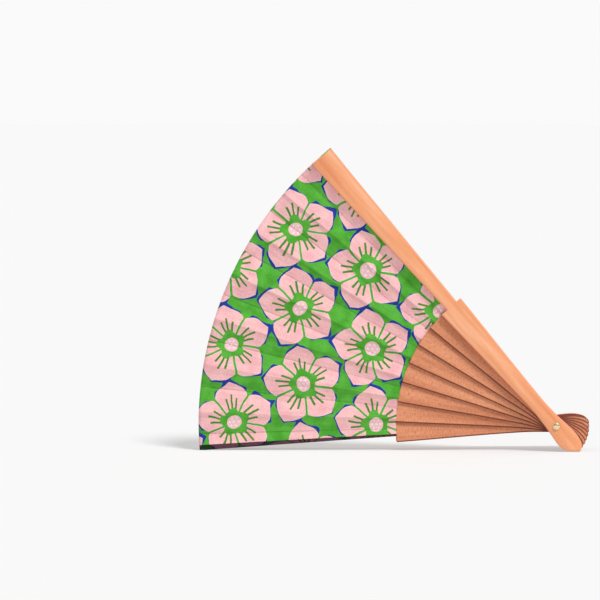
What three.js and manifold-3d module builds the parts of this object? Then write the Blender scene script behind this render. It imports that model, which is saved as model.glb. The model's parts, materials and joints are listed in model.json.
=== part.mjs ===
// Folding hand fan: two guards, seventeen sticks, a pleated cloth leaf and one rivet.
// Millimetres, +Z up. The fan stands on its lower edge, with its face towards -Y.
// The origin is on the floor, under the middle of the whole fan.
import * as THREE from 'three';
import { mergeVertices } from 'three/addons/utils/BufferGeometryUtils.js';
import Module from 'manifold-3d';

const wasm = await Module();
wasm.setup();

// Driving dimensions
const rivetHeight = 15.37; // rivet axis above the floor
const rivetSide = 95.62; // rivet axis to the right of the fan's middle
const shoulderRadius = 94; // rivet axis to the sticks' square shoulders
const leafInner = 94.4;
const leafOuter = 209.5;
const guardReach = 211;
const slatReach = 205;

const stickCount = 17;
const layerPitch = 1.25; // depth that each stick takes in the folded stack
const stickThickness = 1.05;
const slatInset = 0.3; // from a stick's front face to its slat's front face
const slatThickness = 0.55;
const slatHalfRoot = 1.9;
const slatHalfTip = 1.6;
const slatLap = 6; // length over which a slat runs into its stick
const leafThickness = 0.2;
const leafBackInset = 0.95; // from a gore's front panel to the panel behind its slat

const guardThickness = 3.2;
const guardClearance = 0.1; // from a guard to the leaf glued inside it
const guardTipHalf = 7.25;
const guardRootHalf = 3.9;

const guardAngle = 48.9; // above the -X direction, as all these angles are
const lowestSpreadAngle = -2.45; // the last stick of the opened part
const foldedTopAngle = -1.1; // the first stick of the folded part
const foldedBottomAngle = -2.02; // the last stick of the folded part
const backGuardAngle = -2.19;
const spreadSticks = 7;

const panelHalfAngle = 2; // half of the angle that one leaf panel covers
const foldAngle = 0.15; // the cloth's thickness where it turns, as an angle
const tuckedEdge = 1.3; // lower edge of the last opened panel, under its stick's axis

const pinRadius = 1.5;
const holeRadius = 1.75;
const rivetHeadRadius = 1.95;
const rivetHeadHeight = 0.9;
const frontWasherRadius = 2.2;
const backWasherRadius = 3.4;
const washerThickness = 0.3;
const rivetGap = 0.1; // between the rivet's pieces, and to the guards
const roundSegments = 24;

const guardBlade = { inner: 8, outer: 7.1, waist: 4.5, head: 5.8 };
const stickBlade = { inner: 6.1, outer: 6.1, waist: 3.9, head: 5.6 };
const waistRadius = 18;
const headWidest = -8;
const tipRadius = -20.2;

const stickWood = { color: 0xde916c, roughness: 0.6, metalness: 0 };
const guardWood = { color: 0xf0a578, roughness: 0.45, metalness: 0 };
const printedCloth = { color: 0x55b932, roughness: 0.85, metalness: 0 };
const brass = { color: 0xd8b86a, roughness: 0.3, metalness: 1 };

const degrees = THREE.MathUtils.degToRad;

// The front guard is layer 0, the sticks are layers 1 to 17 and the back guard is the last.
const lastLayer = stickCount + 1;
const layerDepth = (layer) => (layer - lastLayer / 2) * layerPitch - stickThickness / 2;

function layerAngle(layer) {
  if (layer === lastLayer) return backGuardAngle;
  if (layer <= spreadSticks) {
    return THREE.MathUtils.lerp(guardAngle, lowestSpreadAngle, layer / spreadSticks);
  }
  const share = (layer - spreadSticks - 1) / (stickCount - spreadSticks - 1);
  return THREE.MathUtils.lerp(foldedTopAngle, foldedBottomAngle, share);
}

// A frame on the rivet axis: its X runs out along the stick, its Y across it and its Z is depth.
function layerFrame(layer) {
  const angle = degrees(layerAngle(layer));
  const along = new THREE.Vector3(-Math.cos(angle), 0, Math.sin(angle));
  const across = new THREE.Vector3(Math.sin(angle), 0, Math.cos(angle));
  const basis = new THREE.Matrix4().makeBasis(along, across, new THREE.Vector3(0, 1, 0));
  const frame = new THREE.Group();
  frame.quaternion.setFromRotationMatrix(basis);
  frame.position.set(rivetSide, layerDepth(layer), rivetHeight);
  return frame;
}

function weld(geometry) {
  geometry.deleteAttribute('normal');
  geometry.deleteAttribute('uv');
  return mergeVertices(geometry, 1e-4);
}

function solidOf(geometry) {
  const welded = weld(geometry);
  return new wasm.Manifold(new wasm.Mesh({
    numProp: 3,
    vertProperties: new Float32Array(welded.attributes.position.array),
    triVerts: new Uint32Array(welded.index.array),
  }));
}

function join(first, second) {
  const mesh = solidOf(first).add(solidOf(second)).getMesh();
  const geometry = new THREE.BufferGeometry();
  geometry.setAttribute('position', new THREE.BufferAttribute(mesh.vertProperties, 3));
  geometry.setIndex(new THREE.BufferAttribute(mesh.triVerts, 1));
  geometry.computeVertexNormals();
  return geometry;
}

// The part of a stick or guard below the leaf: a long taper, a waist and a paddle-shaped head.
function bladeShape(blade) {
  const shape = new THREE.Shape();
  shape.moveTo(shoulderRadius, -blade.inner);
  shape.lineTo(shoulderRadius, blade.outer);
  shape.lineTo(waistRadius, blade.waist);
  shape.quadraticCurveTo(4, blade.waist + 0.1, -3, blade.head - 0.3);
  shape.quadraticCurveTo(headWidest, blade.head + 0.3, -13.6, blade.head - 0.6);
  shape.quadraticCurveTo(-17.6, blade.head - 1.7, tipRadius + 0.9, 1.6);
  shape.quadraticCurveTo(tipRadius, 0.2, tipRadius + 0.5, -0.8);
  shape.bezierCurveTo(-17.8, -3.3, -13.6, -blade.head + 0.7, headWidest - 1, -blade.head);
  shape.quadraticCurveTo(-2, -blade.head - 0.1, 4, -blade.waist - 0.5);
  shape.quadraticCurveTo(10, -blade.waist - 0.1, waistRadius, -blade.waist);
  shape.closePath();
  const hole = new THREE.Path();
  hole.absellipse(0, 0, holeRadius, holeRadius, 0, 2 * Math.PI, true);
  shape.holes.push(hole);
  return shape;
}

// A straight wedge along the frame's X, from one half width to another.
function wedgeShape(start, end, startHalf, endHalf) {
  return new THREE.Shape([
    new THREE.Vector2(start, -startHalf),
    new THREE.Vector2(end, -endHalf),
    new THREE.Vector2(end, endHalf),
    new THREE.Vector2(start, startHalf),
  ]);
}

function plate(shape, front, back) {
  const geometry = new THREE.ExtrudeGeometry(shape, {
    depth: back - front,
    bevelEnabled: false,
    curveSegments: roundSegments / 4,
  });
  return geometry.translate(0, 0, front);
}

function stickGeometry() {
  const blade = plate(bladeShape(stickBlade), 0, stickThickness);
  const slatShape = wedgeShape(shoulderRadius - slatLap, slatReach, slatHalfRoot, slatHalfTip);
  return join(blade, plate(slatShape, slatInset, slatInset + slatThickness));
}

// The guards are full depth below the leaf, and thinner where the leaf is glued inside them.
function frontGuardGeometry() {
  const face = stickThickness - guardThickness;
  const blade = plate(bladeShape(guardBlade), face, stickThickness);
  const bar = wedgeShape(shoulderRadius - slatLap, guardReach, guardRootHalf, guardTipHalf);
  return join(blade, plate(bar, face, -guardClearance));
}

function backGuardGeometry() {
  const blade = plate(bladeShape(guardBlade), 0, guardThickness);
  const bar = wedgeShape(shoulderRadius - slatLap, guardReach, guardRootHalf, guardTipHalf);
  return join(blade, plate(bar, leafThickness + guardClearance, guardThickness));
}

// A cloth section drawn as (angle, depth) and swept out along the radius, so it widens with it.
function sweptCloth(section) {
  const shape = new THREE.Shape(section.map(([angle, depth]) => new THREE.Vector2(angle, depth)));
  const length = leafOuter - leafInner;
  const geometry = new THREE.ExtrudeGeometry(shape, { depth: length, bevelEnabled: false });
  const position = geometry.attributes.position;
  for (let i = 0; i < position.count; i += 1) {
    const radius = leafInner + position.getZ(i);
    const angle = degrees(position.getX(i));
    position.setXYZ(i, radius * Math.cos(angle), radius * Math.sin(angle), position.getY(i));
  }
  return weld(geometry);
}

// One gore: the panel glued in front of a slat, and the panel that goes from its lower edge
// to the upper edge of the next slat's panel. In the folded part that one lies behind the slat.
function goreGeometry(layer) {
  const step = layerAngle(layer) - layerAngle(layer + 1);
  const top = panelHalfAngle;
  const low = layer === spreadSticks ? -tuckedEdge : -panelHalfAngle;
  const far = panelHalfAngle - step;
  const back = leafBackInset;
  const farSide = [[far, back + leafThickness], [far, back]];
  if (far < low) {
    return sweptCloth([[top, 0], [low, 0], farSide[1], farSide[0],
      [low, leafThickness], [top, leafThickness]]);
  }
  return sweptCloth([[top, 0], [low - foldAngle, 0], [low - foldAngle, back + leafThickness],
    ...farSide, [low, back], [low, leafThickness], [top, leafThickness]]);
}

function endPanelGeometry() {
  const edge = panelHalfAngle;
  return sweptCloth([[edge, 0], [-edge, 0], [-edge, leafThickness], [edge, leafThickness]]);
}

// Round pieces are turned about the rivet axis from (radius, depth) points.
function turned(profile) {
  const points = profile.map(([radius, depth]) => new THREE.Vector2(radius, depth));
  return weld(new THREE.LatheGeometry(points, roundSegments));
}

const guardFace = layerDepth(lastLayer) + guardThickness; // as far behind Y = 0 as in front
const washerFace = guardFace + rivetGap + washerThickness;
const headFace = washerFace + rivetGap;

// The pin is one piece with the domed head in front; the cap is the end closed over behind.
function rivetPinGeometry() {
  return turned([
    [0, -headFace - rivetHeadHeight],
    [rivetHeadRadius * 0.62, -headFace - rivetHeadHeight * 0.78],
    [rivetHeadRadius, -headFace - rivetHeadHeight * 0.17],
    [rivetHeadRadius, -headFace],
    [pinRadius, -headFace],
    [pinRadius, washerFace],
    [0, washerFace],
  ]);
}

function washerGeometry(radius, start) {
  return turned([
    [holeRadius, start],
    [radius, start],
    [radius, start + washerThickness],
    [holeRadius, start + washerThickness],
    [holeRadius, start],
  ]);
}

function rivetCapGeometry() {
  return turned([
    [0, headFace],
    [rivetHeadRadius, headFace],
    [rivetHeadRadius * 0.62, headFace + rivetHeadHeight * 0.78],
    [0, headFace + rivetHeadHeight],
  ]);
}

function named(name, geometry, finish) {
  const mesh = new THREE.Mesh(geometry, new THREE.MeshStandardMaterial(finish));
  mesh.name = name;
  return mesh;
}

const numbered = (name, number) => `${name}_${String(number).padStart(2, '0')}`;

const fan = new THREE.Group();
for (let layer = 0; layer <= lastLayer; layer += 1) {
  const frame = layerFrame(layer);
  if (layer === 0) frame.add(named('front_guard', frontGuardGeometry(), guardWood));
  else if (layer === lastLayer) frame.add(named('back_guard', backGuardGeometry(), guardWood));
  else frame.add(named(numbered('stick', layer), stickGeometry(), stickWood));
  const cloth = layer === lastLayer ? endPanelGeometry() : goreGeometry(layer);
  frame.add(named(numbered('leaf', layer), cloth, printedCloth));
  fan.add(frame);
}

const rivet = new THREE.Group();
rivet.position.set(rivetSide, 0, rivetHeight);
const frontWasher = washerGeometry(frontWasherRadius, -washerFace);
const backWasher = washerGeometry(backWasherRadius, guardFace + rivetGap);
rivet.add(named('rivet_pin', rivetPinGeometry(), brass));
rivet.add(named('front_washer', frontWasher, brass));
rivet.add(named('back_washer', backWasher, brass));
rivet.add(named('rivet_cap', rivetCapGeometry(), brass));
fan.add(rivet);

export default fan;
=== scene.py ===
import json
import math
import random

import bpy
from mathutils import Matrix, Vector, noise


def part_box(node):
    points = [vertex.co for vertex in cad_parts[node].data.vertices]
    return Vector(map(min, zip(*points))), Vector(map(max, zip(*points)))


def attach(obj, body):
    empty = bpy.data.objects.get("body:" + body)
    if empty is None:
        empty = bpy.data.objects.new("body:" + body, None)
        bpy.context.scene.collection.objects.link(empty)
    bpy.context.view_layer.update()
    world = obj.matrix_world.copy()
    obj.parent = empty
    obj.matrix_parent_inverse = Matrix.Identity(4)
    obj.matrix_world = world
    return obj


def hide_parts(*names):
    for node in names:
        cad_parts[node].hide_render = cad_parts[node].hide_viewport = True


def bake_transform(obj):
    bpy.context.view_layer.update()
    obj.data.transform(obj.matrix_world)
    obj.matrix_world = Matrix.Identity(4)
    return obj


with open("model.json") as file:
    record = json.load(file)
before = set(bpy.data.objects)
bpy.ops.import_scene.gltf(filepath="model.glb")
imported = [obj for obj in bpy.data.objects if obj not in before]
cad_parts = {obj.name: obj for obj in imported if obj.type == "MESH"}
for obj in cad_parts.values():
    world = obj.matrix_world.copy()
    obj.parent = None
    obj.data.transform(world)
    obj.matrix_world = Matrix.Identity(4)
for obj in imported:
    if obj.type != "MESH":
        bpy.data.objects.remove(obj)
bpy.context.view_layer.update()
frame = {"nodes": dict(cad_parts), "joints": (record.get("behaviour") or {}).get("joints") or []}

rivetPoint = Vector(frame["joints"][0]["pos_m"])
lastLayer = 18          # layer 0 is the front guard, 1 to 17 are the sticks, 18 is the back guard
lastSpread = 7          # the sticks up to this one are spread, the rest lie folded behind it
mm = 0.001


# reading the frame

def layerBody(layer):
    if layer == 0:
        return "front_guard"
    if layer == lastLayer:
        return "back_guard"
    return f"stick_{layer:02d}"


def layerAngle(layer):
    # direction of a stick's far end, above the -X direction
    points = [v.co - rivetPoint for v in frame["nodes"][layerBody(layer)].data.vertices]
    far = max(math.hypot(p.x, p.z) for p in points)
    ends = [p for p in points if math.hypot(p.x, p.z) > 0.995 * far]
    return math.atan2(sum(p.z for p in ends), -sum(p.x for p in ends))


def layerFront(layer):
    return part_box(f"leaf_{layer:02d}")[0].y


angles = [layerAngle(layer) for layer in range(lastLayer + 1)]
fronts = [layerFront(layer) for layer in range(lastLayer + 1)]
layerPitch = (fronts[lastLayer] - fronts[0]) / lastLayer


def fanPoint(angle, radius, depth):
    return Vector((rivetPoint.x - radius * math.cos(angle), depth,
                   rivetPoint.z + radius * math.sin(angle)))


def mix(a, b, share):
    return a + (b - a) * share


def smoothStep(low, high, value):
    share = min(max((value - low) / (high - low), 0), 1)
    return share * share * (3 - 2 * share)


# meshes

def makeMesh(name, points, faces, uvs=None, smooth=True):
    mesh = bpy.data.meshes.new(name)
    mesh.from_pydata(points, [], faces)
    mesh.update()
    if uvs:
        layer = mesh.uv_layers.new(name="flat")
        for loop in mesh.loops:
            layer.data[loop.index].uv = uvs[loop.vertex_index]
    mesh.polygons.foreach_set("use_smooth", [smooth] * len(mesh.polygons))
    piece = bpy.data.objects.new(name, mesh)
    bpy.context.scene.collection.objects.link(piece)
    return piece


def pointsBetween(table, value):
    # smooth curve through (place, size) pairs, with slopes taken from the neighbouring pairs
    for low in range(len(table) - 1):
        if value <= table[low + 1][0] or low == len(table) - 2:
            break
    x0, y0 = table[low]
    x1, y1 = table[low + 1]
    share = min(max((value - x0) / (x1 - x0), 0), 1)
    before = table[max(low - 1, 0)]
    after = table[min(low + 2, len(table) - 1)]
    s0 = (y1 - before[1]) / (x1 - before[0])
    s1 = (after[1] - y0) / (after[0] - x0)
    a = y0
    b = s0 * (x1 - x0)
    c = 3 * (y1 - y0) - (2 * s0 + s1) * (x1 - x0)
    d = 2 * (y0 - y1) + (s0 + s1) * (x1 - x0)
    return a + share * (b + share * (c + share * d))


# node helpers

def newMaterial(name):
    material = bpy.data.materials.new(name)
    material.use_nodes = True
    tree = material.node_tree
    tree.nodes.clear()
    output = tree.nodes.new("ShaderNodeOutputMaterial")
    shader = tree.nodes.new("ShaderNodeBsdfPrincipled")
    tree.links.new(shader.outputs[0], output.inputs[0])
    return material, tree, shader


def feed(tree, socket, value):
    if isinstance(value, bpy.types.NodeSocket):
        tree.links.new(value, socket)
    else:
        socket.default_value = value


def sums(tree, operation, *values, clamp=False):
    node = tree.nodes.new("ShaderNodeMath")
    node.operation = operation
    node.use_clamp = clamp
    for slot, value in enumerate(values):
        feed(tree, node.inputs[slot], value)
    return node.outputs[0]


def under(tree, field, limit, blur):
    # 1 where field is below limit, with a soft edge
    return sums(tree, "MULTIPLY_ADD", sums(tree, "SUBTRACT", field, limit), -1 / blur, 0.5, clamp=True)


def flatPoint(tree, scale):
    # the piece's flat layout in millimetres
    node = tree.nodes.new("ShaderNodeUVMap")
    node.uv_map = "flat"
    mapping = tree.nodes.new("ShaderNodeMapping")
    mapping.inputs["Scale"].default_value = (scale[0], scale[1], 1)
    tree.links.new(node.outputs[0], mapping.inputs[0])
    return mapping.outputs[0]


def speckle(tree, point, scale=1.0, detail=3.0, rough=0.5):
    node = tree.nodes.new("ShaderNodeTexNoise")
    node.inputs["Scale"].default_value = scale
    node.inputs["Detail"].default_value = detail
    node.inputs["Roughness"].default_value = rough
    tree.links.new(point, node.inputs["Vector"])
    return node.outputs[0]


def ramp(tree, value, stops):
    node = tree.nodes.new("ShaderNodeValToRGB")
    while len(node.color_ramp.elements) < len(stops):
        node.color_ramp.elements.new(0.5)
    for element, (place, colour) in zip(node.color_ramp.elements, stops):
        element.position = place
        element.color = (*colour, 1)
    tree.links.new(value, node.inputs[0])
    return node.outputs[0]


def blendColour(tree, share, a, b, how="MIX"):
    node = tree.nodes.new("ShaderNodeMix")
    node.data_type = "RGBA"
    node.blend_type = how
    feed(tree, node.inputs[0], share)
    feed(tree, node.inputs[6], (*a, 1) if isinstance(a, tuple) else a)
    feed(tree, node.inputs[7], (*b, 1) if isinstance(b, tuple) else b)
    return node.outputs[2]


def addBump(tree, shader, height, strength, distance):
    node = tree.nodes.new("ShaderNodeBump")
    node.inputs["Strength"].default_value = strength
    node.inputs["Distance"].default_value = distance
    tree.links.new(height, node.inputs["Height"])
    tree.links.new(node.outputs[0], shader.inputs["Normal"])


def srgb(red, green, blue):
    def linear(value):
        share = value / 255
        return share / 12.92 if share <= 0.04045 else ((share + 0.055) / 1.055) ** 2.4
    return linear(red), linear(green), linear(blue)


# the printed cloth

printMotif = {
    "first": (-110.9, 91.6),     # one flower's centre from the rivet, in mm
    "across": (83.2, -2.1),      # step between flowers in a row
    "down": (2.2, -45.9),        # step between rows
    "between": (42.7, -24.0),    # to the rows that stand half a step over
    "turn": 27,                  # degrees that the first petal points up from the right
    "tip": 20.8, "tipSlope": 30,          # the two slanted edges of a petal's tip
    "side": 14.3, "sideSlope": 69,
    "contour": 19.8, "contourSlope": 39, "contourEnd": 8.3,  # the blue line outside them, widest at the tip
    "contourIn": 0.6,            # how far inside the petal's edge the blue line may start
    "contourFade": 0.6,          # how fast it narrows towards contourEnd
    "tipRound": 3.4, "gapRound": 1.2,
    "gap": 0.62,                 # half the green gap between petals
    "strokes": ((-15, 13.9), (0, 16.2), (14.5, 14.6)),       # direction in degrees, and reach
    "strokeHalf": 0.6,
    "heart": 4.4, "blob": 8.2,
    "lobes": 1.1, "ragged": 2.4,             # how far the green blob's edge swings and wavers
    "dotRing": 2.7, "dot": 0.62,
    "blur": 0.25,
    "sway": (0.05, 4.5), "shake": (0.45, 0.45),              # wobble of the drawing: noise scale, mm
    "hand": (0.11, 3.2, -1.7),               # wobble of the blue line's width: noise scale, swing, middle
    "pink": srgb(253, 200, 197), "pinkShade": srgb(246, 184, 186),
    "green": srgb(90, 184, 60), "greenShade": srgb(72, 166, 42),
    "heartPink": srgb(250, 202, 204),
    "strokeGreen": srgb(68, 142, 42),
    "blue": srgb(24, 58, 150), "white": srgb(252, 238, 236), "fringe": srgb(249, 208, 210),
}


def weighed(tree, x, xShare, y, yShare):
    return sums(tree, "ADD", sums(tree, "MULTIPLY", x, xShare), sums(tree, "MULTIPLY", y, yShare))


def latticePlace(tree, x, y, start):
    # offset from the nearest flower of one rectangular set, as (x, y) sockets
    ax, ay = printMotif["across"]
    bx, by = printMotif["down"]
    size = ax * by - ay * bx
    px = sums(tree, "SUBTRACT", x, start[0])
    py = sums(tree, "SUBTRACT", y, start[1])
    column = sums(tree, "WRAP", weighed(tree, px, by / size, py, -bx / size), 0.5, -0.5)
    row = sums(tree, "WRAP", weighed(tree, px, -ay / size, py, ax / size), 0.5, -0.5)
    return weighed(tree, column, ax, row, bx), weighed(tree, column, ay, row, by)


def squared(tree, x, y):
    return sums(tree, "ADD", sums(tree, "MULTIPLY", x, x), sums(tree, "MULTIPLY", y, y))


def slanted(tree, along, across, slope, reach):
    # distance outside a straight edge that stands across a petal at a slope
    lean = math.radians(slope)
    near = sums(tree, "SUBTRACT", sums(tree, "MULTIPLY", along, math.cos(lean)), reach)
    return sums(tree, "MULTIPLY_ADD", across, math.sin(lean), near)


def wobbled(tree, point, scale, size):
    # the point moved about by a noise, by up to half of size each way
    noiseNode = tree.nodes.new("ShaderNodeTexNoise")
    noiseNode.inputs["Scale"].default_value = scale
    noiseNode.inputs["Detail"].default_value = 1
    tree.links.new(point, noiseNode.inputs["Vector"])
    shift = tree.nodes.new("ShaderNodeVectorMath")
    shift.operation = "MULTIPLY_ADD"
    tree.links.new(noiseNode.outputs[1], shift.inputs[0])
    shift.inputs[1].default_value = (size, size, 0)
    tree.links.new(point, shift.inputs[2])
    back = tree.nodes.new("ShaderNodeVectorMath")
    back.operation = "SUBTRACT"
    tree.links.new(shift.outputs[0], back.inputs[0])
    back.inputs[1].default_value = (size / 2, size / 2, 0)
    return back.outputs[0]


def nearestFlower(tree, x, y):
    motif = printMotif
    firstX, firstY = latticePlace(tree, x, y, motif["first"])
    start = [motif["first"][k] + motif["between"][k] for k in range(2)]
    otherX, otherY = latticePlace(tree, x, y, start)
    other = sums(tree, "LESS_THAN", squared(tree, otherX, otherY), squared(tree, firstX, firstY))
    px = sums(tree, "MULTIPLY_ADD", sums(tree, "SUBTRACT", otherX, firstX), other, firstX)
    py = sums(tree, "MULTIPLY_ADD", sums(tree, "SUBTRACT", otherY, firstY), other, firstY)
    return px, py


def neighbourPetal(tree, px, py, offset, turn):
    # place along and across the petal that reaches in from the flower at an offset
    lean = math.radians(turn)
    x = sums(tree, "SUBTRACT", px, offset[0])
    y = sums(tree, "SUBTRACT", py, offset[1])
    along = sums(tree, "MULTIPLY_ADD", y, math.sin(lean), sums(tree, "MULTIPLY", x, math.cos(lean)))
    across = sums(tree, "MULTIPLY_ADD", y, math.cos(lean), sums(tree, "MULTIPLY", x, -math.sin(lean)))
    return along, sums(tree, "ABSOLUTE", across)


def flowerColour(tree, point):
    motif = printMotif
    drawn = wobbled(tree, wobbled(tree, point, *motif["sway"]), *motif["shake"])
    split = tree.nodes.new("ShaderNodeSeparateXYZ")
    tree.links.new(drawn, split.inputs[0])
    px, py = nearestFlower(tree, split.outputs[0], split.outputs[1])
    far = sums(tree, "SQRT", squared(tree, px, py))
    turn = sums(tree, "ARCTAN2", py, px)

    fifth = math.pi / 5
    aside = sums(tree, "WRAP", sums(tree, "SUBTRACT", turn, math.radians(motif["turn"])), fifth, -fifth)
    size = sums(tree, "ABSOLUTE", aside)
    along = sums(tree, "MULTIPLY", far, sums(tree, "COSINE", size))
    across = sums(tree, "MULTIPLY", far, sums(tree, "SINE", size))
    tipField = slanted(tree, along, across, motif["tipSlope"], motif["tip"])
    sideField = slanted(tree, along, across, motif["sideSlope"], motif["side"])
    toGap = sums(tree, "MULTIPLY", far, sums(tree, "SINE", sums(tree, "SUBTRACT", fifth, size)))
    gapField = sums(tree, "SUBTRACT", motif["gap"], toGap)
    outline = sums(tree, "SMOOTH_MAX", tipField, sideField, motif["tipRound"])
    petalField = sums(tree, "SMOOTH_MAX", outline, gapField, motif["gapRound"])

    # a blue contour follows the tips, and its width changes as if drawn by hand
    handScale, handSwing, handMiddle = motif["hand"]
    hand = sums(tree, "MULTIPLY_ADD", speckle(tree, point, handScale, 0.0), handSwing, handMiddle)
    contourField = slanted(tree, along, across, motif["contourSlope"], motif["contour"])
    contourField = sums(tree, "MAXIMUM", contourField, sums(tree, "SUBTRACT", sideField, 0.5))
    fade = motif["contourFade"]
    endField = sums(tree, "MULTIPLY_ADD", across, fade, -motif["contourEnd"] * fade)
    contourField = sums(tree, "MAXIMUM", contourField, endField)
    bx, by = motif["down"]
    ax, ay = motif["between"]
    # the tips of two petals of the flowers below reach in
    for offset, way in (((bx - ax, by - ay), motif["turn"]), ((bx, by), motif["turn"] + 72)):
        inAlong, inAcross = neighbourPetal(tree, px, py, offset, way)
        inTip = slanted(tree, inAlong, inAcross, motif["tipSlope"], motif["tip"])
        petalField = sums(tree, "MINIMUM", petalField, inTip)
        inLine = slanted(tree, inAlong, inAcross, motif["contourSlope"], motif["contour"] + 0.3)
        contourField = sums(tree, "MINIMUM", contourField, inLine)
    outside = sums(tree, "SUBTRACT", -motif["contourIn"], outline)
    contourField = sums(tree, "MAXIMUM", sums(tree, "ADD", contourField, hand), outside)
    contour = under(tree, contourField, 0.25, motif["blur"])
    petal = under(tree, petalField, 0, 0.22)
    fringe = under(tree, petalField, -0.3, 0.3)

    stroke = None
    for lean, reach in motif["strokes"]:
        own = sums(tree, "SUBTRACT", aside, math.radians(lean))
        off = sums(tree, "ABSOLUTE", sums(tree, "MULTIPLY", far, sums(tree, "SINE", own)))
        body = sums(tree, "MAXIMUM", sums(tree, "SUBTRACT", off, motif["strokeHalf"]),
                    sums(tree, "SUBTRACT", far, reach))
        stroke = body if stroke is None else sums(tree, "MINIMUM", stroke, body)
    strokeMask = under(tree, stroke, 0, motif["blur"])

    ragged = speckle(tree, point, 0.4, 1.0)
    lobe = sums(tree, "COSINE", sums(tree, "MULTIPLY", size, 5.0))
    blobEdge = sums(tree, "MULTIPLY_ADD", lobe, motif["lobes"], motif["blob"])
    waver = sums(tree, "MULTIPLY_ADD", ragged, motif["ragged"], -motif["ragged"] / 2)
    blobEdge = sums(tree, "ADD", blobEdge, waver)
    blob = under(tree, sums(tree, "SUBTRACT", far, blobEdge), 0, motif["blur"])
    heart = under(tree, far, motif["heart"], motif["blur"])

    # six white dots in a ring, and one in the middle
    sixth = math.pi / 6
    dotTurn = sums(tree, "WRAP", turn, sixth, -sixth)
    toDot = sums(tree, "MULTIPLY", far, sums(tree, "COSINE", dotTurn))
    dotAlong = sums(tree, "SUBTRACT", toDot, motif["dotRing"])
    dotAside = sums(tree, "MULTIPLY", far, sums(tree, "SINE", dotTurn))
    dotFar = sums(tree, "SQRT", squared(tree, dotAlong, dotAside))
    dot = under(tree, sums(tree, "MINIMUM", dotFar, far), motif["dot"], 0.3)

    mottle = speckle(tree, point, 0.12, 3.0)
    pink = ramp(tree, mottle, [(0.35, motif["pinkShade"]), (0.6, motif["pink"])])
    green = ramp(tree, mottle, [(0.38, motif["greenShade"]), (0.6, motif["green"])])
    colour = blendColour(tree, contour, green, motif["blue"])
    colour = blendColour(tree, petal, colour, motif["fringe"])
    colour = blendColour(tree, fringe, colour, pink)
    colour = blendColour(tree, strokeMask, colour, motif["strokeGreen"])
    colour = blendColour(tree, blob, colour, green)
    colour = blendColour(tree, heart, colour, motif["heartPink"])
    return blendColour(tree, dot, colour, motif["white"])


clothFinish = {
    "weave": 0.36,          # mm between threads
    "creases": 70,          # fine creases to a radian
    "creaseRun": 0.035,     # low values make them long
    "creaseShade": 0.55,
    "slub": (700, 2400), "flock": (1300, 1300), "rumple": (90, 90),      # noise to a metre, two ways
    # the thread's darker tone, also used as the painted shade in the creases
    "deepThreadAndShade": (0.82, 0.77, 0.82),
    "roughness": 0.82, "sheen": 0.15, "shine": 0.2,
    "bump": 0.35, "bumpDepth": 0.0006,
    "backFade": 0.42,       # how far the print's back is paler
    "backTint": srgb(238, 232, 222),
    "hemShadeTint": srgb(116, 100, 120),      # painted shade: the turned-under hem is darkened as if it lay in deep shadow
}


def clothMaterial(name, back):
    material, tree, shader = newMaterial(name)
    point = flatPoint(tree, (1000, 1000))
    colour = flowerColour(tree, point)
    if back:
        colour = blendColour(tree, clothFinish["backFade"], colour, clothFinish["backTint"])
    split = tree.nodes.new("ShaderNodeSeparateXYZ")
    tree.links.new(point, split.inputs[0])
    turns = 2 * math.pi / clothFinish["weave"]
    warp = sums(tree, "SINE", sums(tree, "MULTIPLY", split.outputs[0], turns))
    weft = sums(tree, "SINE", sums(tree, "MULTIPLY", split.outputs[1], turns))
    weave = sums(tree, "MULTIPLY", warp, weft)
    # fine creases run along the pleats, out from the rivet
    turned = sums(tree, "ARCTAN2", split.outputs[1], sums(tree, "MULTIPLY", split.outputs[0], -1.0))
    reach = sums(tree, "SQRT", squared(tree, split.outputs[0], split.outputs[1]))
    pleated = tree.nodes.new("ShaderNodeCombineXYZ")
    feed(tree, pleated.inputs[0], sums(tree, "MULTIPLY", turned, clothFinish["creases"]))
    feed(tree, pleated.inputs[1], sums(tree, "MULTIPLY", reach, clothFinish["creaseRun"]))
    creases = speckle(tree, pleated.outputs[0], 1.0, 3.0, 0.6)
    slub = speckle(tree, flatPoint(tree, clothFinish["slub"]), 1.0, 2.0)
    flock = speckle(tree, flatPoint(tree, clothFinish["flock"]), 1.0, 2.0, 0.7)
    fuzz = sums(tree, "MULTIPLY_ADD", weave, 0.07, sums(tree, "MULTIPLY", flock, 0.4))
    thread = sums(tree, "MULTIPLY_ADD", slub, 0.6, fuzz)
    tint = ramp(tree, thread, [(0.38, clothFinish["deepThreadAndShade"]), (0.62, (1.0, 1.0, 1.0))])
    colour = blendColour(tree, 1.0, colour, tint, "MULTIPLY")
    # painted shade: the colour darkens along the fine creases, as if they lay in shadow
    creaseShading = ramp(tree, creases, [(0.32, clothFinish["deepThreadAndShade"]), (0.52, (1.0, 1.0, 1.0))])
    colour = blendColour(tree, clothFinish["creaseShade"], colour, creaseShading, "MULTIPLY")
    # painted shade: the turned-under hem's print is darkened, standing in for the shadow it lies in
    hemShade = tree.nodes.new("ShaderNodeAttribute")
    hemShade.attribute_name = "hemShade"
    colour = blendColour(tree, hemShade.outputs["Fac"], colour, clothFinish["hemShadeTint"], "MULTIPLY")
    tree.links.new(colour, shader.inputs["Base Color"])
    shader.inputs["Roughness"].default_value = clothFinish["roughness"]
    shader.inputs["Specular IOR Level"].default_value = clothFinish["shine"]
    shader.inputs["Sheen Weight"].default_value = clothFinish["sheen"]
    rumple = speckle(tree, flatPoint(tree, clothFinish["rumple"]), 1.0, 3.0)
    height = sums(tree, "MULTIPLY_ADD", thread, 0.25, sums(tree, "MULTIPLY_ADD", rumple, 1.4, creases))
    addBump(tree, shader, height, clothFinish["bump"], clothFinish["bumpDepth"])
    return material
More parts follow.
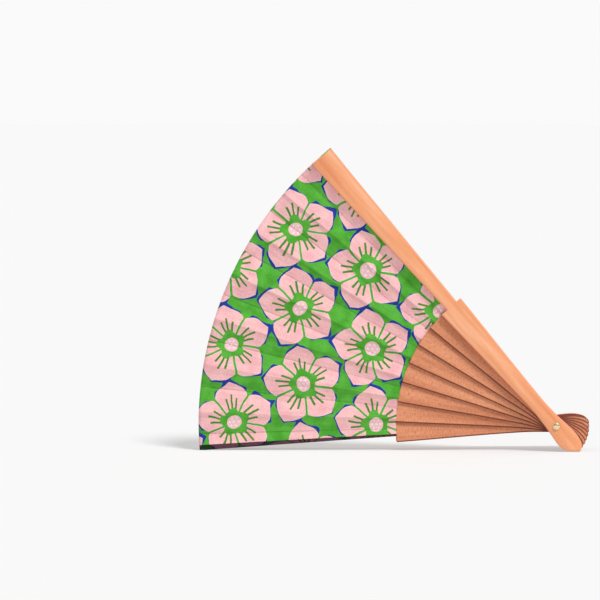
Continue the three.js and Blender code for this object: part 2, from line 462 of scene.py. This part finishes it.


# wood and brass

# tones are the shade, body, light and rim colours. The rim colour is the dark edge, partly the wood's burnt
# edge and partly painted shade of the step to the next stick. Low grain makes it long. fleck is how dark
# the short cross marks are
stickFinish = {
    "tones": (srgb(200, 122, 84), srgb(218, 142, 102), srgb(230, 156, 114), srgb(118, 44, 12)),
    "grain": 60, "fleck": 0.7, "rough": 0.5,
}
guardFinish = {
    "tones": (srgb(224, 140, 92), srgb(236, 160, 113), srgb(248, 186, 148), srgb(230, 152, 108)),
    "grain": 25, "fleck": 0.12, "rough": 0.3,
}
brassFinish = {"dark": srgb(226, 200, 140), "light": srgb(250, 238, 200), "scuff": 900, "rough": 0.12}


def woodMaterial(name, finish):
    material, tree, shader = newMaterial(name)
    tones, fleck = finish["tones"], finish["fleck"]
    figure = speckle(tree, flatPoint(tree, (14, 160)), 1.0, 3.0)
    grain = speckle(tree, flatPoint(tree, (finish["grain"], 1500)), 1.0, 4.0, 0.6)
    flecks = speckle(tree, flatPoint(tree, (2300, 420)), 1.0, 2.0)
    colour = ramp(tree, figure, [(0.3, tones[0]), (0.5, tones[1]), (0.72, tones[2])])
    lines = ramp(tree, grain, [(0.34, (0.8, 0.74, 0.68)), (0.5, (1, 1, 1))])
    colour = blendColour(tree, 0.45, colour, lines, "MULTIPLY")
    marks = ramp(tree, flecks, [(0.36, (0.66, 0.5, 0.42)), (0.54, (1, 1, 1))])
    colour = blendColour(tree, fleck, colour, marks, "MULTIPLY")
    rim = tree.nodes.new("ShaderNodeAttribute")
    rim.attribute_name = "rim"
    # the rim colour at the rounded edges: the sticks' dark burnt edge, and painted shade where each stick
    # steps down to the one behind
    colour = blendColour(tree, rim.outputs["Fac"], colour, tones[3])
    tree.links.new(colour, shader.inputs["Base Color"])
    rough = sums(tree, "MULTIPLY_ADD", grain, 0.2, finish["rough"])
    tree.links.new(rough, shader.inputs["Roughness"])
    height = sums(tree, "ADD", grain, sums(tree, "MULTIPLY", flecks, fleck))
    addBump(tree, shader, height, 0.25, 0.0002)
    return material


def brassMaterial():
    material, tree, shader = newMaterial("paleBrass")
    place = tree.nodes.new("ShaderNodeTexCoord")
    scuff = speckle(tree, place.outputs["Object"], brassFinish["scuff"], 4.0)
    colour = ramp(tree, scuff, [(0.35, brassFinish["dark"]), (0.65, brassFinish["light"])])
    tree.links.new(colour, shader.inputs["Base Color"])
    shader.inputs["Metallic"].default_value = 1.0
    rough = sums(tree, "MULTIPLY_ADD", scuff, 0.2, brassFinish["rough"])
    tree.links.new(rough, shader.inputs["Roughness"])
    addBump(tree, shader, scuff, 0.1, 0.0001)
    return material


stickWood = woodMaterial("stickWood", stickFinish)
guardWood = woodMaterial("guardWood", guardFinish)
clothFace = clothMaterial("printedCloth", False)
clothBack = clothMaterial("printedClothBack", True)
brass = brassMaterial()
print("materials made")


# sticks and guards

# head outlines, in mm along and across from the rivet: the edge towards the open side, and the other
headOuter = ((-20.3, 0.6), (-20.1, 1.9), (-19.3, 3.2), (-18.0, 4.2), (-16.0, 5.1), (-13.0, 5.8),
             (-9.5, 6.0), (-3.0, 5.5), (3.5, 4.7), (18.0, 4.2))
headInner = ((-20.3, 0.5), (-20.1, 0.2), (-19.2, -0.7), (-18.4, -1.6), (-16.9, -3.2), (-15.0, -4.8),
             (-12.6, -6.0), (-8.5, -6.4), (-3.0, -5.8), (4.0, -5.1), (18.0, -4.5))
neck = 18.0                     # the heads' outlines end here, and the blades' scale starts to even out
pinHole = 1.7
rimInset = (0.28, 0.62)         # the rim's dark colour, part burnt edge and part painted shade, fades out between these, in from the rounded edge

# edge is the corners' rounding, crown how far the face falls away, ridge where it is highest, -1 to 1
guardSize = {
    "outer": headOuter + ((94.0, 7.1),), "inner": headInner + ((94.0, -8.0),), "scale": 1.0,
    "shoulder": 94.0, "reach": 210.7, "barRoot": 3.9, "barTip": 7.25, "thick": 3.2,
    "edge": 0.6, "crown": 1.0, "ridge": -0.35, "cornerSteps": 4,
}
stickSize = {
    "outer": headOuter + ((94.0, 6.3),), "inner": headInner + ((94.0, -6.5),), "scale": 0.84,
    "shoulder": 94.0, "reach": 205.0, "barRoot": 1.85, "barTip": 1.5, "thick": 1.05,
    "slat": (0.29, 0.69),       # the slat's front and back depths behind the leaf
    "edge": 0.28, "crown": 0.35, "ridge": 0.0, "cornerSteps": 3,
}
settle = 0.3                    # mm that the change of depth at the shoulder takes


def stations(size):
    # places along the piece: close together at the head's tip and at the shoulder
    shoulder = size["shoulder"]
    places = [-20.3, -20.2, -20.1, -19.9, -19.6, -19.2, -18.7, -18.0]
    places += [-17 + k for k in range(0, 28)]
    places += [mix(12, shoulder - 1, k / 24) for k in range(25)]
    places += [shoulder - 0.35, shoulder - 0.1, shoulder]
    bar = [shoulder + 0.02, shoulder + 0.4]
    bar += [mix(shoulder + 2, size["reach"] - 0.4, k / 30) for k in range(31)]
    bar += [size["reach"]]
    return places, bar


def blankSpan(size, place):
    # from the inner edge to the outer one, below the leaf
    shrink = mix(size["scale"], 1, smoothStep(neck, size["shoulder"], place))
    return pointsBetween(size["inner"], place) * shrink, pointsBetween(size["outer"], place) * shrink


def barSpan(size, place):
    share = (place - size["shoulder"]) / (size["reach"] - size["shoulder"])
    half = mix(size["barRoot"], size["barTip"], share)
    return -half, half


def ringAt(size, inner, outer, front, back, tilt):
    # a rounded section as (across, depth, rim) points, from the outer edge over the front, then the back
    middle, half = (inner + outer) / 2, (outer - inner) / 2
    halfDepth = (back - front) / 2
    edge = min(size["edge"], half * 0.9, halfDepth * 0.95)
    crown, ridge = min(size["crown"], halfDepth, half * 0.25), size["ridge"]
    steps = size["cornerSteps"]
    flat = half - edge
    points = []
    for side in (1, -1):                    # outer front corner, then inner front corner
        arc = range(steps + 1) if side == 1 else range(steps, -1, -1)
        for k in arc:
            turn = math.pi / 2 * k / steps
            points.append((side * (flat + edge * math.cos(turn)), front + edge - edge * math.sin(turn), 1))
        if side == 1:
            # the rim's dark colour, painted shade with the burnt edge, covers the front face this far in
            edgeShadeInset, plainInset = [min(inset, flat * 0.8) for inset in rimInset]
            points += [(flat - edgeShadeInset, front, 1), (flat - plainInset, front, 0)]
            points += [(share * flat, front, 0) for share in (0.45, 0.15, -0.15, -0.45)]
            points += [(plainInset - flat, front, 0), (edgeShadeInset - flat, front, 1)]
    for side in (-1, 1):                    # inner back corner, then outer back corner
        arc = range(steps + 1) if side == -1 else range(steps, -1, -1)
        for k in arc:
            turn = math.pi / 2 * k / steps
            points.append((side * (flat + edge * math.cos(turn)), back - edge + edge * math.sin(turn), 1))
        if side == -1:
            points += [(share * flat, back, 0) for share in (-0.9, 0.0, 0.9)]
    ring = []
    for across, depth, rim in points:
        share = across / half if half > 0 else 0
        if depth < (front + back) / 2:
            # the face is crowned, so it falls away on both sides of its ridge
            fall = (share - ridge) / (1 - ridge) if share > ridge else 0.5 * (ridge - share) / (1 + ridge)
            depth += crown * fall * fall
        ring.append((middle + across, depth + tilt * (middle + across), rim))
    return ring


def loftPiece(name, layer, size, blade, bar):
    # blade and bar say the front and back depths, in mm from the layer's front
    places, barPlaces = stations(size)
    rings = []
    for place in places:
        inner, outer = blankSpan(size, place)
        rings.append((place, ringAt(size, inner, outer, *blade, 0)))
    for place in barPlaces:
        inner, outer = barSpan(size, place)
        front, back, tilt = bar(place)
        rings.append((place, ringAt(size, inner, outer, front, back, tilt)))
    angle, front = angles[layer], fronts[layer]
    along = Vector((-math.cos(angle), 0, math.sin(angle)))
    upward = Vector((math.sin(angle), 0, math.cos(angle)))
    origin = Vector((rivetPoint.x, front, rivetPoint.z))
    seed = random.Random(layer)
    slide, lift = seed.uniform(0, 3), seed.uniform(0, 3)
    points, uvs, rims, faces = [], [], [], []
    for place, ring in rings:
        for across, depth, rim in ring:
            points.append(origin + along * place * mm + upward * across * mm + Vector((0, depth * mm, 0)))
            uvs.append((place * mm + slide, across * mm + lift))
            rims.append(rim)
    count = len(rings[0][1])
    for row in range(len(rings) - 1):
        for k in range(count):
            a, b = row * count + k, row * count + (k + 1) % count
            faces.append((a, b, b + count, a + count))
    faces.append(tuple(range(count - 1, -1, -1)))
    faces.append(tuple((len(rings) - 1) * count + k for k in range(count)))
    piece = makeMesh(name, points, faces, uvs)
    # rim marks where the edges take the dark colour, burnt edge and painted shade
    rimShade = piece.data.attributes.new("rim", "FLOAT", "POINT")
    rimShade.data.foreach_set("value", [float(r) for r in rims])
    return piece


def cutHole(piece, layer):
    bpy.ops.mesh.primitive_cylinder_add(vertices=48, radius=pinHole * mm, depth=0.01,
                                        location=(rivetPoint.x, fronts[layer], rivetPoint.z),
                                        rotation=(math.pi / 2, 0, 0))
    cutter = bpy.context.active_object
    cut = piece.modifiers.new("hole", "BOOLEAN")
    cut.operation = "DIFFERENCE"
    cut.solver = "EXACT"
    cut.object = cutter
    bpy.context.view_layer.objects.active = piece
    bpy.ops.object.modifier_apply(modifier=cut.name)
    bpy.data.objects.remove(cutter)


def finishWood(piece, layer, material):
    piece.data.materials.clear()
    piece.data.materials.append(material)
    # the split keeps crisp arrises between the faces and the rounded edges
    split = piece.modifiers.new("arris", "EDGE_SPLIT")
    split.split_angle = math.radians(40)
    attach(piece, layerBody(layer))
    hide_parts(layerBody(layer))


# the leaf

leafSize = {
    "inner": 94.1, "outer": 211.2,
    "panel": 4.0,           # degrees that each flat panel covers
    "cloth": 0.2,
    "tilt": 1.1,            # mm that a panel's edges lean in or out at the rim, less on these layers:
    "tiltShare": {0: 0, 6: 0.9, 7: 0.6, 8: 0.2, 9: 0.4, 10: 0.7, 16: 0.8, 17: 0.45, lastLayer: 0},
    "clear": 0.8,           # mm that a free panel drops to pass behind its stick's slat
    "slatHalf": (1.9, 1.55),         # half the slat's width with a little air, at the shoulder and the end
    "wrinkle": 0.10,        # mm
    "driftTop": 1.0, "driftLow": -1.15,   # how the panels sit over the spread sticks, in degrees
    "tuckStart": 1.7,       # the last spread panel turns back this far below its upper edge
    "tuckAngle": 0.9, "tuckDepth": 2.5, "tuckStep": 0.14, "tuckRise": (0.19, 0.23),
    "rows": 58,             # of faces from the inner edge to the rim
}


def drift(layer):
    if layer < 1 or layer > lastSpread:
        return 0
    return mix(leafSize["driftTop"], leafSize["driftLow"], (layer - 1) / (lastSpread - 1))


def tilt(layer):
    return leafSize["tilt"] * leafSize["tiltShare"].get(layer, 1)


def slatEdge(radius):
    # degrees from a slat's middle to its edge
    share = (radius - stickSize["shoulder"]) / (stickSize["reach"] - stickSize["shoulder"])
    return math.degrees(mix(*leafSize["slatHalf"], share) / radius)


def panelDepth(layer, offset, radius):
    # a glued panel leans: its upper edge lies deeper than its lower one
    lean = tilt(layer) * offset / (leafSize["panel"] / 2)
    return leafSize["cloth"] / 2 + lean * radius / leafSize["outer"]


def backDepth(layer, share, radius):
    # the panel between two sticks drops behind its own slat, then runs to the next panel
    lean = mix(tilt(layer), tilt(layer + 1), share) * (2 * share - 1) * radius / leafSize["outer"]
    pitch = layerPitch / mm
    clear, half = leafSize["clear"], leafSize["cloth"] / 2
    if layer == 0:
        return half + (pitch + tilt(1) * radius / leafSize["outer"]) * share ** 1.25
    reach = max((leafSize["panel"] / 2 - drift(layer) - slatEdge(radius) - 0.15) / leafSize["panel"], 0.08)
    if share < reach:
        begun = smoothStep(-0.35 * reach, reach, 0)
        extra = clear * (smoothStep(-0.35 * reach, reach, share) - begun) / (1 - begun)
    else:
        extra = mix(clear, pitch, (share - reach) / (1 - reach))
    return half + lean + extra


def goreAt(layer, turn, radius):
    # turn is how far down the flat gore, in degrees. Gives the angle at rest, the depth in mm, and the
    # share of the way from this stick's panel to the next one's
    panel = leafSize["panel"]
    top = math.degrees(angles[layer]) + panel / 2 + drift(layer)
    grow = radius / leafSize["outer"]
    if layer == lastSpread:
        return tuckedGore(turn, radius, top, grow)
    if turn <= panel:
        return top - turn, panelDepth(layer, panel / 2 - turn, radius), 0
    share = (turn - panel) / panel
    nextTop = math.degrees(angles[layer + 1]) + panel / 2 + drift(layer + 1)
    return mix(top - panel, nextTop, share), backDepth(layer, share, radius), share


def tuckedGore(turn, radius, top, grow):
    # the gore between the spread and the folded part: its lower margin steps back, down and under
    panel, start, step = leafSize["panel"], leafSize["tuckStart"], leafSize["tuckStep"]
    back = leafSize["tuckDepth"] * grow
    if turn <= start:
        return top - turn, panelDepth(lastSpread, panel / 2 - turn, radius), 0
    edgeAngle = top - start - leafSize["tuckAngle"]
    foldDepth = panelDepth(lastSpread, panel / 2 - start, radius)
    if turn <= panel:
        share = (turn - start) / (panel - start)
        stepped, beyond = min(share / step, 1), max(share - step, 0)
        depth = foldDepth + back * (0.85 * stepped + 0.15 * beyond)
        return mix(top - start, edgeAngle, 0.06 * stepped + 0.94 * beyond / (1 - step)), depth, 0
    share = (turn - panel) / panel
    nextTop = math.degrees(angles[lastSpread + 1]) + panel / 2
    behind = foldDepth + back
    rise, risen = leafSize["tuckRise"]
    if share < rise:
        depth = mix(behind, behind + 0.15, min(share / 0.02, 1))
    elif share < risen:
        depth = mix(behind + 0.15, 1.1, (share - rise) / (risen - rise))
    else:
        nextDepth = layerPitch / mm + panelDepth(lastSpread + 1, panel / 2, radius)
        depth = mix(1.1, nextDepth, (share - risen) / (1 - risen))
    return mix(edgeAngle, nextTop, share), depth, share


def flatAngle(layer, turn, rest):
    # where the cloth lay when it was printed: as seen in the spread part, and evenly unrolled below it
    if layer < lastSpread:
        return rest
    top = math.degrees(angles[lastSpread]) + leafSize["panel"] / 2 + drift(lastSpread)
    return top - 2 * leafSize["panel"] * (layer - lastSpread) - turn


def goreTurns(layer):
    panel = leafSize["panel"]
    steps = [0, 0.05, 0.3]              # close together at the folds
    steps += [0.3 + (panel - 0.6) * k / 9 for k in range(1, 10)]
    steps += [panel - 0.05]
    if layer == lastSpread:
        step = leafSize["tuckStep"] * (panel - leafSize["tuckStart"])
        steps += [leafSize["tuckStart"] + move for move in (-0.04, 0.0, 0.5 * step, step, step + 0.05)]
        steps += [panel * (1 + share) for share in leafSize["tuckRise"]]
    if layer == lastLayer:
        return sorted(steps + [panel])
    steps += [panel, panel + 0.05, panel + 0.3]
    steps += [panel + (0.3 + (panel - 0.3) * k / 11) for k in range(1, 12)]
    return sorted(steps)


def makeGore(layer):
    turns = goreTurns(layer)
    rows = leafSize["rows"]
    points, uvs, follow, hemShades, faces = [], [], [], [], []
    for row in range(rows + 1):
        radius = mix(leafSize["inner"], leafSize["outer"], row / rows)
        for turn in turns:
            rest, depth, share = goreAt(layer, turn, radius)
            flat = flatAngle(layer, turn, rest)
            seam = min(turn, 2 * leafSize["panel"] - turn, 0.6) / 0.6      # gores meet exactly
            ripple = noise.noise(Vector((radius * 0.045, flat * radius * 0.0021, 3.1)))
            depth += leafSize["wrinkle"] * ripple * 2 * max(seam, 0)
            points.append(fanPoint(math.radians(rest), radius * mm, fronts[layer] + depth * mm))
            lay = math.radians(flat)
            uvs.append((-radius * mm * math.cos(lay), radius * mm * math.sin(lay)))
            follow.append(share)
            # the tucked hem of the last spread gore takes the painted shade
            inHem = leafSize["tuckStart"] < turn < leafSize["panel"] + 0.2
            hemShades.append(float(layer == lastSpread and inHem))
    count = len(turns)
    for row in range(rows):
        for k in range(count - 1):
            a = row * count + k
            faces.append((a, a + count, a + count + 1, a + 1))
    gore = makeMesh(f"leafGore{layer:02d}", points, faces, uvs)
    gore.data.materials.append(clothFace)
    gore.data.materials.append(clothBack)
    hemShare = gore.data.attributes.new("hemShade", "FLOAT", "POINT")
    hemShare.data.foreach_set("value", hemShades)
    thick = gore.modifiers.new("cloth", "SOLIDIFY")
    thick.thickness = leafSize["cloth"] * mm
    thick.offset = 0
    thick.material_offset = 1
    thick.material_offset_rim = 0
    if layer < lastLayer:
        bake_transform(gore)
    else:
        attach(gore, layerBody(layer))
    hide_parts(f"leaf_{layer:02d}")


for layer in range(lastLayer + 1):
    makeGore(layer)
print("leaf made")


def slatDepths(layer, place):
    # a slat lies flat against the back of its own leaf panel
    lean = tilt(layer) / math.radians(leafSize["panel"] / 2) / leafSize["outer"]
    shift = -tilt(layer) * drift(layer) / (leafSize["panel"] / 2) * place / leafSize["outer"]
    settled = smoothStep(stickSize["shoulder"], stickSize["shoulder"] + settle, place)
    slatFront, slatBack = [depth + shift for depth in stickSize["slat"]]
    return mix(0.0, slatFront, settled), mix(stickSize["thick"], slatBack, settled), lean * settled


for layer in range(1, lastLayer):
    stick = loftPiece(f"stick{layer:02d}", layer, stickSize, (0.0, stickSize["thick"]),
                      lambda place: slatDepths(layer, place))
    cutHole(stick, layer)
    finishWood(stick, layer, stickWood)
print("sticks made")


def loftGuard(name, layer, size, blade, barBack):
    # the bar behind the leaf is thinner, so that the cloth has room
    def barDepths(place):
        settled = smoothStep(size["shoulder"], size["shoulder"] + settle, place)
        return blade[0], mix(blade[1], barBack, settled), 0
    return loftPiece(name, layer, size, blade, barDepths)


def mirrorDepth(piece, middle):
    for v in piece.data.vertices:
        v.co.y = 2 * middle - v.co.y
    piece.data.flip_normals()


guardRoom = {"front": 0.08, "back": 0.3}        # mm left for the cloth beside each guard's bar
guardThick, bladeBack = guardSize["thick"], stickSize["thick"]
front = loftGuard("frontGuard", 0, guardSize, (bladeBack - guardThick, bladeBack), -guardRoom["front"])
cutHole(front, 0)
finishWood(front, 0, guardWood)

# the back guard is the same blank with a smaller head, turned to face backwards
backSize = {**guardSize, "scale": 0.86}
back = loftGuard("backGuard", lastLayer, backSize, (0.0, guardThick), guardThick - guardRoom["back"])
mirrorDepth(back, fronts[lastLayer] + guardThick / 2 * mm)
cutHole(back, lastLayer)
finishWood(back, lastLayer, guardWood)
print("guards made")


# the rivet

rivetSize = {
    "pin": 1.5, "head": 1.95, "crown": 0.9, "lip": 0.18,
    "washer": 0.3, "frontWasher": 2.2, "backWasher": 3.4,
    "gap": 0.02,            # air between the stacked pieces
    "steps": 48,
}


def turnedPiece(name, profile, node):
    # profile: (radius, depth) in mm, turned about the rivet's axis
    points, faces = [], []
    count, steps = len(profile), rivetSize["steps"]
    for k in range(steps):
        turn = 2 * math.pi * k / steps
        for radius, depth in profile:
            points.append((rivetPoint.x + radius * mm * math.cos(turn), depth * mm,
                           rivetPoint.z + radius * mm * math.sin(turn)))
    for k in range(steps):
        for row in range(count - 1):
            a, b = k * count + row, (k + 1) % steps * count + row
            faces.append((a, a + 1, b + 1, b))
    piece = makeMesh(name, points, faces)
    bpy.context.view_layer.objects.active = piece
    piece.select_set(True)
    bpy.ops.object.mode_set(mode="EDIT")
    bpy.ops.mesh.select_all(action="SELECT")
    bpy.ops.mesh.remove_doubles(threshold=1e-6)
    bpy.ops.mesh.normals_make_consistent(inside=False)
    bpy.ops.object.mode_set(mode="OBJECT")
    piece.select_set(False)
    piece.data.materials.append(brass)
    split = piece.modifiers.new("arris", "EDGE_SPLIT")
    split.split_angle = math.radians(45)
    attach(piece, "back_guard")
    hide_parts(node)


def domeProfile(face, outward, radius, crown):
    # from the dome's top to its rim, standing on a face
    rows, lip = [], rivetSize["lip"]
    for k in range(9):
        turn = math.pi / 2 * k / 8
        rows.append((radius * math.sin(turn), face + outward * (lip + (crown - lip) * math.cos(turn))))
    rows.append((radius, face + outward * 0.05))
    rows.append((radius - 0.05, face))
    return rows


def washerProfile(face, outward, radius, thick):
    bevel = 0.08
    inner = rivetSize["pin"] + 0.1
    return [(inner, face), (radius, face), (radius, face + outward * (thick - bevel)),
            (radius - bevel, face + outward * thick), (inner, face + outward * thick), (inner, face)]


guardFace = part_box("back_guard")[1].y / mm
gap, pin, washer = rivetSize["gap"], rivetSize["pin"], rivetSize["washer"]
washerFace = guardFace + washer + gap
dome = domeProfile(-washerFace - gap, -1, rivetSize["head"], rivetSize["crown"])
shank = [(pin, dome[-1][1]), (pin, washerFace), (0, washerFace)]
capDome = domeProfile(washerFace + gap, 1, rivetSize["head"], rivetSize["crown"])
frontRing = washerProfile(-guardFace - gap / 2, -1, rivetSize["frontWasher"], washer)
backRing = washerProfile(guardFace + gap / 2, 1, rivetSize["backWasher"], washer)
turnedPiece("rivetPin", dome + shank, "rivet_pin")
turnedPiece("rivetCap", capDome + [(0, washerFace + gap)], "rivet_cap")
turnedPiece("frontWasher", frontRing, "front_washer")
turnedPiece("backWasher", backRing, "back_washer")
print("rivet made")


# floor, light and camera

studio = {
    "floor": 300.0, "floorTone": 0.5, "floorGlow": 0.4,    # the floor is a lit sheet, so shadows stay pale
    "white": 0.955,
    "sky": 0.42,            # the light of the sky above the white horizon
    "skyRise": 12.0, "skyStart": -0.6,       # how fast, and from where, the white gives way to it
    "sunRise": 54, "sunSide": 38, "sun": 2.6, "sunSize": 16,
}


def makeFloor():
    half = studio["floor"]
    corners = [(-half, -half, 0), (half, -half, 0), (half, half, 0), (-half, half, 0)]
    floor = makeMesh("floor", corners, [(0, 1, 2, 3)])
    material, tree, shader = newMaterial("paleFloor")
    shader.inputs["Base Color"].default_value = (studio["floorTone"],) * 3 + (1,)
    shader.inputs["Roughness"].default_value = 0.9
    shader.inputs["Specular IOR Level"].default_value = 0.0
    shader.inputs["Emission Color"].default_value = (1, 1, 1, 1)
    shader.inputs["Emission Strength"].default_value = studio["floorGlow"]
    floor.data.materials.append(material)


def makeSky():
    world = bpy.data.worlds.new("studio")
    bpy.context.scene.world = world
    world.use_nodes = True
    tree = world.node_tree
    tree.nodes.clear()
    output = tree.nodes.new("ShaderNodeOutputWorld")
    back = tree.nodes.new("ShaderNodeBackground")
    back.inputs["Color"].default_value = (1, 1, 1, 1)
    place = tree.nodes.new("ShaderNodeTexCoord")
    split = tree.nodes.new("ShaderNodeSeparateXYZ")
    tree.links.new(place.outputs["Generated"], split.inputs[0])
    rise = sums(tree, "MULTIPLY_ADD", split.outputs[2], studio["skyRise"], studio["skyStart"], clamp=True)
    glow = sums(tree, "MULTIPLY_ADD", rise, studio["sky"] - studio["white"], studio["white"])
    tree.links.new(glow, back.inputs["Strength"])
    tree.links.new(back.outputs[0], output.inputs[0])


def makeSun():
    # a broad soft lamp, high on the right and in front
    lamp = bpy.data.lights.new("key", "SUN")
    lamp.energy = studio["sun"]
    lamp.angle = math.radians(studio["sunSize"])
    holder = bpy.data.objects.new("key", lamp)
    rise, side = math.radians(studio["sunRise"]), math.radians(studio["sunSide"])
    toward = Vector((math.cos(rise) * math.sin(side), -math.cos(rise) * math.cos(side), math.sin(rise)))
    holder.rotation_euler = toward.to_track_quat("Z", "Y").to_euler()
    bpy.context.scene.collection.objects.link(holder)


cameraSet = {"lens": 204.0, "distance": 2.0, "elevation": 3.0, "left": 0.1511, "up": 0.0744}


def makeCamera():
    # long lens, from just above the height of the fan's middle
    camera = bpy.data.cameras.new("camera")
    camera.lens = cameraSet["lens"]
    camera.sensor_width = 36
    camera.clip_end = 1000
    holder = bpy.data.objects.new("camera", camera)
    bpy.context.scene.collection.objects.link(holder)
    bpy.context.scene.camera = holder
    rise = math.radians(cameraSet["elevation"])
    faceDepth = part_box("front_guard")[0].y
    aimRise = rivetPoint.z + cameraSet["up"] / math.cos(rise)
    aim = Vector((rivetPoint.x - cameraSet["left"], faceDepth, aimRise))
    away = Vector((0, -math.cos(rise), math.sin(rise)))
    holder.location = aim + away * cameraSet["distance"]
    holder.rotation_euler = (-away).to_track_quat("-Z", "Y").to_euler()


makeFloor()
makeSky()
makeSun()
makeCamera()
bpy.context.scene.view_settings.view_transform = "Standard"
print("studio made")
